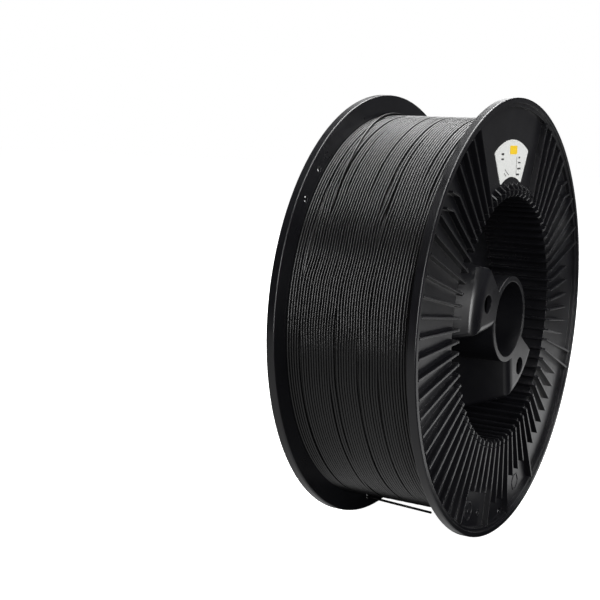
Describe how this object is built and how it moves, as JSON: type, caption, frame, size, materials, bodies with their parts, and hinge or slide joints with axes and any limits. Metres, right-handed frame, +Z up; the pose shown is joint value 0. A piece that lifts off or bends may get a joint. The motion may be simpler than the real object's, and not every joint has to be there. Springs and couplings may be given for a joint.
{
  "type": "filament spool",
  "caption": "Large plastic spool with ribbed flanges, a wide open barrel, a lobed hub with a through bore, and 3D-printer filament wound between the flanges.",
  "frame": {"origin": "middle of the bore, half way between the two flanges", "axes": "+Y along the spool's axis, away from the labelled flange, and +Z up, with the label near the top; the spool stands on both rims at z = -0.150 m"},
  "size_m": [0.3, 0.103, 0.3],
  "materials": {
    "front_half": "black moulded plastic, satin, with fine mould texture",
    "rear_half": "black moulded plastic, satin, with fine mould texture",
    "label": "white coated paper label with plain printed shapes and no lettering",
    "filament": "glossy black extruded filament"
  },
  "bodies": {
    "root": {"front_half": "front_half", "rear_half": "rear_half", "label": "label", "filament_winding": "filament", "filament_tail": "filament"}
  },
  "joints": []
}
